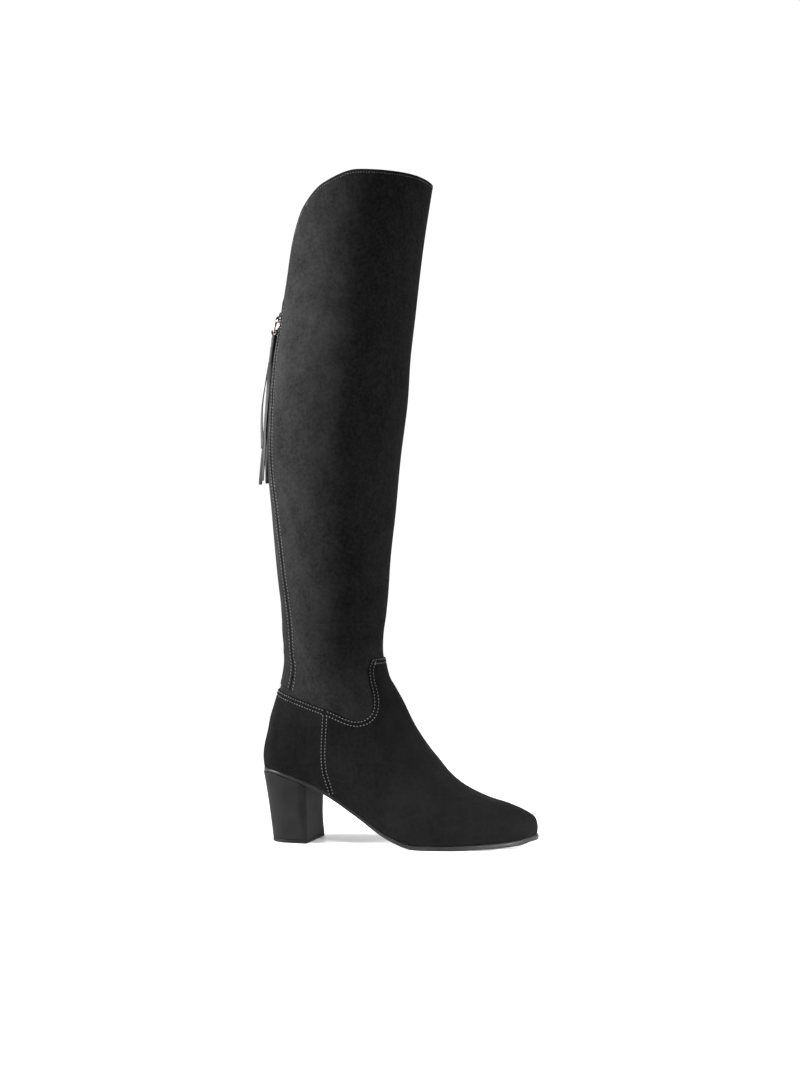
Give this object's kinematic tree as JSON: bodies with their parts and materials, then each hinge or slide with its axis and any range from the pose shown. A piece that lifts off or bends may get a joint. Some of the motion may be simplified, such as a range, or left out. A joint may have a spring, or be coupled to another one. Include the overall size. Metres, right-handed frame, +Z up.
{
  "type": "thigh high boot",
  "caption": "Suede boot that reaches over the knee, with a block heel, a collar that dips at the back, and a ring with a strip tassel.",
  "frame": {"origin": "middle of the heel's bottom face, on the ground", "axes": "+X to the toe, +Y to the inner side of the leg, +Z up to the collar"},
  "size_m": [0.253, 0.1208, 0.585],
  "materials": {
    "suede": "matt near-black suede with a fine nap",
    "sole_leather": "smooth black sole with a glossy edge",
    "insole_board": "plain matt lining leather",
    "heel_leather": "satin black leather over a block",
    "heel_tip": "matt black",
    "trim_leather": "black leather cut in strips",
    "ring_metal": "polished, pale rose gold"
  },
  "bodies": {
    "root": {"upper": "suede", "vamp": "suede", "counter": "suede", "back_strip": "suede", "outsole": "sole_leather", "insole": "insole_board", "heel": "heel_leather", "heel_tip": "heel_tip", "ring_keeper": "trim_leather", "tassel_ring": "ring_metal", "tassel": "trim_leather"}
  },
  "joints": []
}
